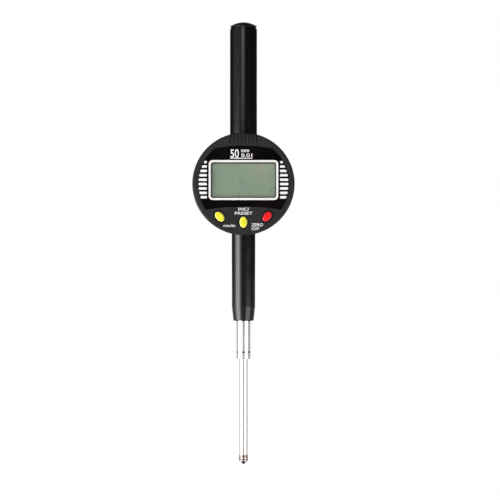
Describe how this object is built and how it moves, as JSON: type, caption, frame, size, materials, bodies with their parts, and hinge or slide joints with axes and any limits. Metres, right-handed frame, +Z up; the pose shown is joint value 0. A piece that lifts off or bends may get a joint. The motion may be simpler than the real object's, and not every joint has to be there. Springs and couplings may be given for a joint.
{
  "type": "digital dial indicator",
  "caption": "Round-headed digital plunger indicator with long guard tube above, clamping stem below, sprung spindle and ball contact.",
  "frame": {"origin": "on the stem's axis, half way along the bare 8 mm length that a holder clamps", "axes": "+Z up along the spindle towards the guard tube's cap, -Y the way the display faces, +X to the display's right"},
  "size_m": [0.057, 0.0281, 0.2488],
  "materials": {
    "black_case": "fine matt moulded black",
    "black_tube": "satin black anodised aluminium",
    "chrome_stem": "polished hard chrome",
    "steel_spindle": "ground and polished stainless steel",
    "dark_ball": "polished dark carbide",
    "bronze": "reamed bearing bronze",
    "black_rubber": "moulded nitrile rubber",
    "gloss_face": "gloss black printed face",
    "clear_lens": "clear acrylic",
    "lcd_glass": "grey-green reflective liquid crystal glass",
    "zebra_rubber": "layered silicone connector",
    "green_board": "glass-fibre circuit board with solder mask",
    "chip_black": "epoxy chip package",
    "spring_steel": "bright drawn spring wire",
    "screw_steel": "zinc plated steel",
    "frame_aluminium": "milled aluminium",
    "yellow_button": "glossy yellow moulded plastic",
    "red_button": "glossy red moulded plastic",
    "cell_steel": "nickel plated cell can",
    "ribbon_film": "amber polyimide film",
    "scale_film": "etched copper scale on film"
  },
  "bodies": {
    "case": {"stem": "chrome_stem", "stem_sleeve": "black_tube", "nose_ring": "chrome_stem", "wiper_seal": "black_rubber", "lower_bush": "bronze", "guard_tube": "black_tube", "tube_cap": "black_tube", "upper_bush": "bronze", "bump_washer": "black_rubber", "return_spring": "spring_steel", "rear_case": "black_case", "back_cover": "black_case", "back_cover_screws": "screw_steel", "back_seal": "black_rubber", "retaining_ring": "spring_steel", "stop_pin": "screw_steel", "reader_mount": "frame_aluminium", "reader_board": "green_board", "reader_screws": "screw_steel", "rail_screws": "screw_steel", "guide_rail": "frame_aluminium", "ribbon_cable": "ribbon_film"},
    "spindle_group": {"spindle": "steel_spindle", "scale_strip": "scale_film", "guide_pin": "screw_steel", "spring_seat": "frame_aluminium", "contact_point": "steel_spindle", "contact_ball": "dark_ball"},
    "display_head": {"front_shell": "black_case", "face_panel": "gloss_face", "window_lens": "clear_lens", "lcd_panel": "lcd_glass", "zebra_strips": "zebra_rubber", "main_board": "green_board", "board_chips": "chip_black", "button_mat": "zebra_rubber", "head_back_plate": "black_case", "head_screws": "screw_steel", "battery_contact": "spring_steel"},
    "units_button": {"button_units": "yellow_button"},
    "preset_button": {"button_preset": "yellow_button"},
    "zero_button": {"button_zero": "red_button"},
    "battery_drawer": {"battery_tray": "black_case", "battery_cell": "cell_steel"}
  },
  "joints": [
    {"name": "spindle_slide", "type": "slide", "parent": "case", "child": "spindle_group", "axis": [0, 0, 1], "range_m": [0, 0.0508], "stiffness_N_per_m": 24, "springref_m": -0.045, "deforming": ["return_spring"]},
    {"name": "head_turn", "type": "hinge", "parent": "case", "child": "display_head", "pos_m": [0, 0, 0.0854], "axis": [0, 1, 0], "range_deg": [-135, 135]},
    {"name": "units_press", "type": "slide", "parent": "display_head", "child": "units_button", "axis": [0, 1, 0], "range_m": [0, 0.0006], "stiffness_N_per_m": 800, "springref_m": -0.0008},
    {"name": "preset_press", "type": "slide", "parent": "display_head", "child": "preset_button", "axis": [0, 1, 0], "range_m": [0, 0.0006], "stiffness_N_per_m": 800, "springref_m": -0.0008},
    {"name": "zero_press", "type": "slide", "parent": "display_head", "child": "zero_button", "axis": [0, 1, 0], "range_m": [0, 0.0006], "stiffness_N_per_m": 800, "springref_m": -0.0008},
    {"name": "battery_slide", "type": "slide", "parent": "display_head", "child": "battery_drawer", "axis": [0, 0, 1], "range_m": [0, 0.014]}
  ]
}
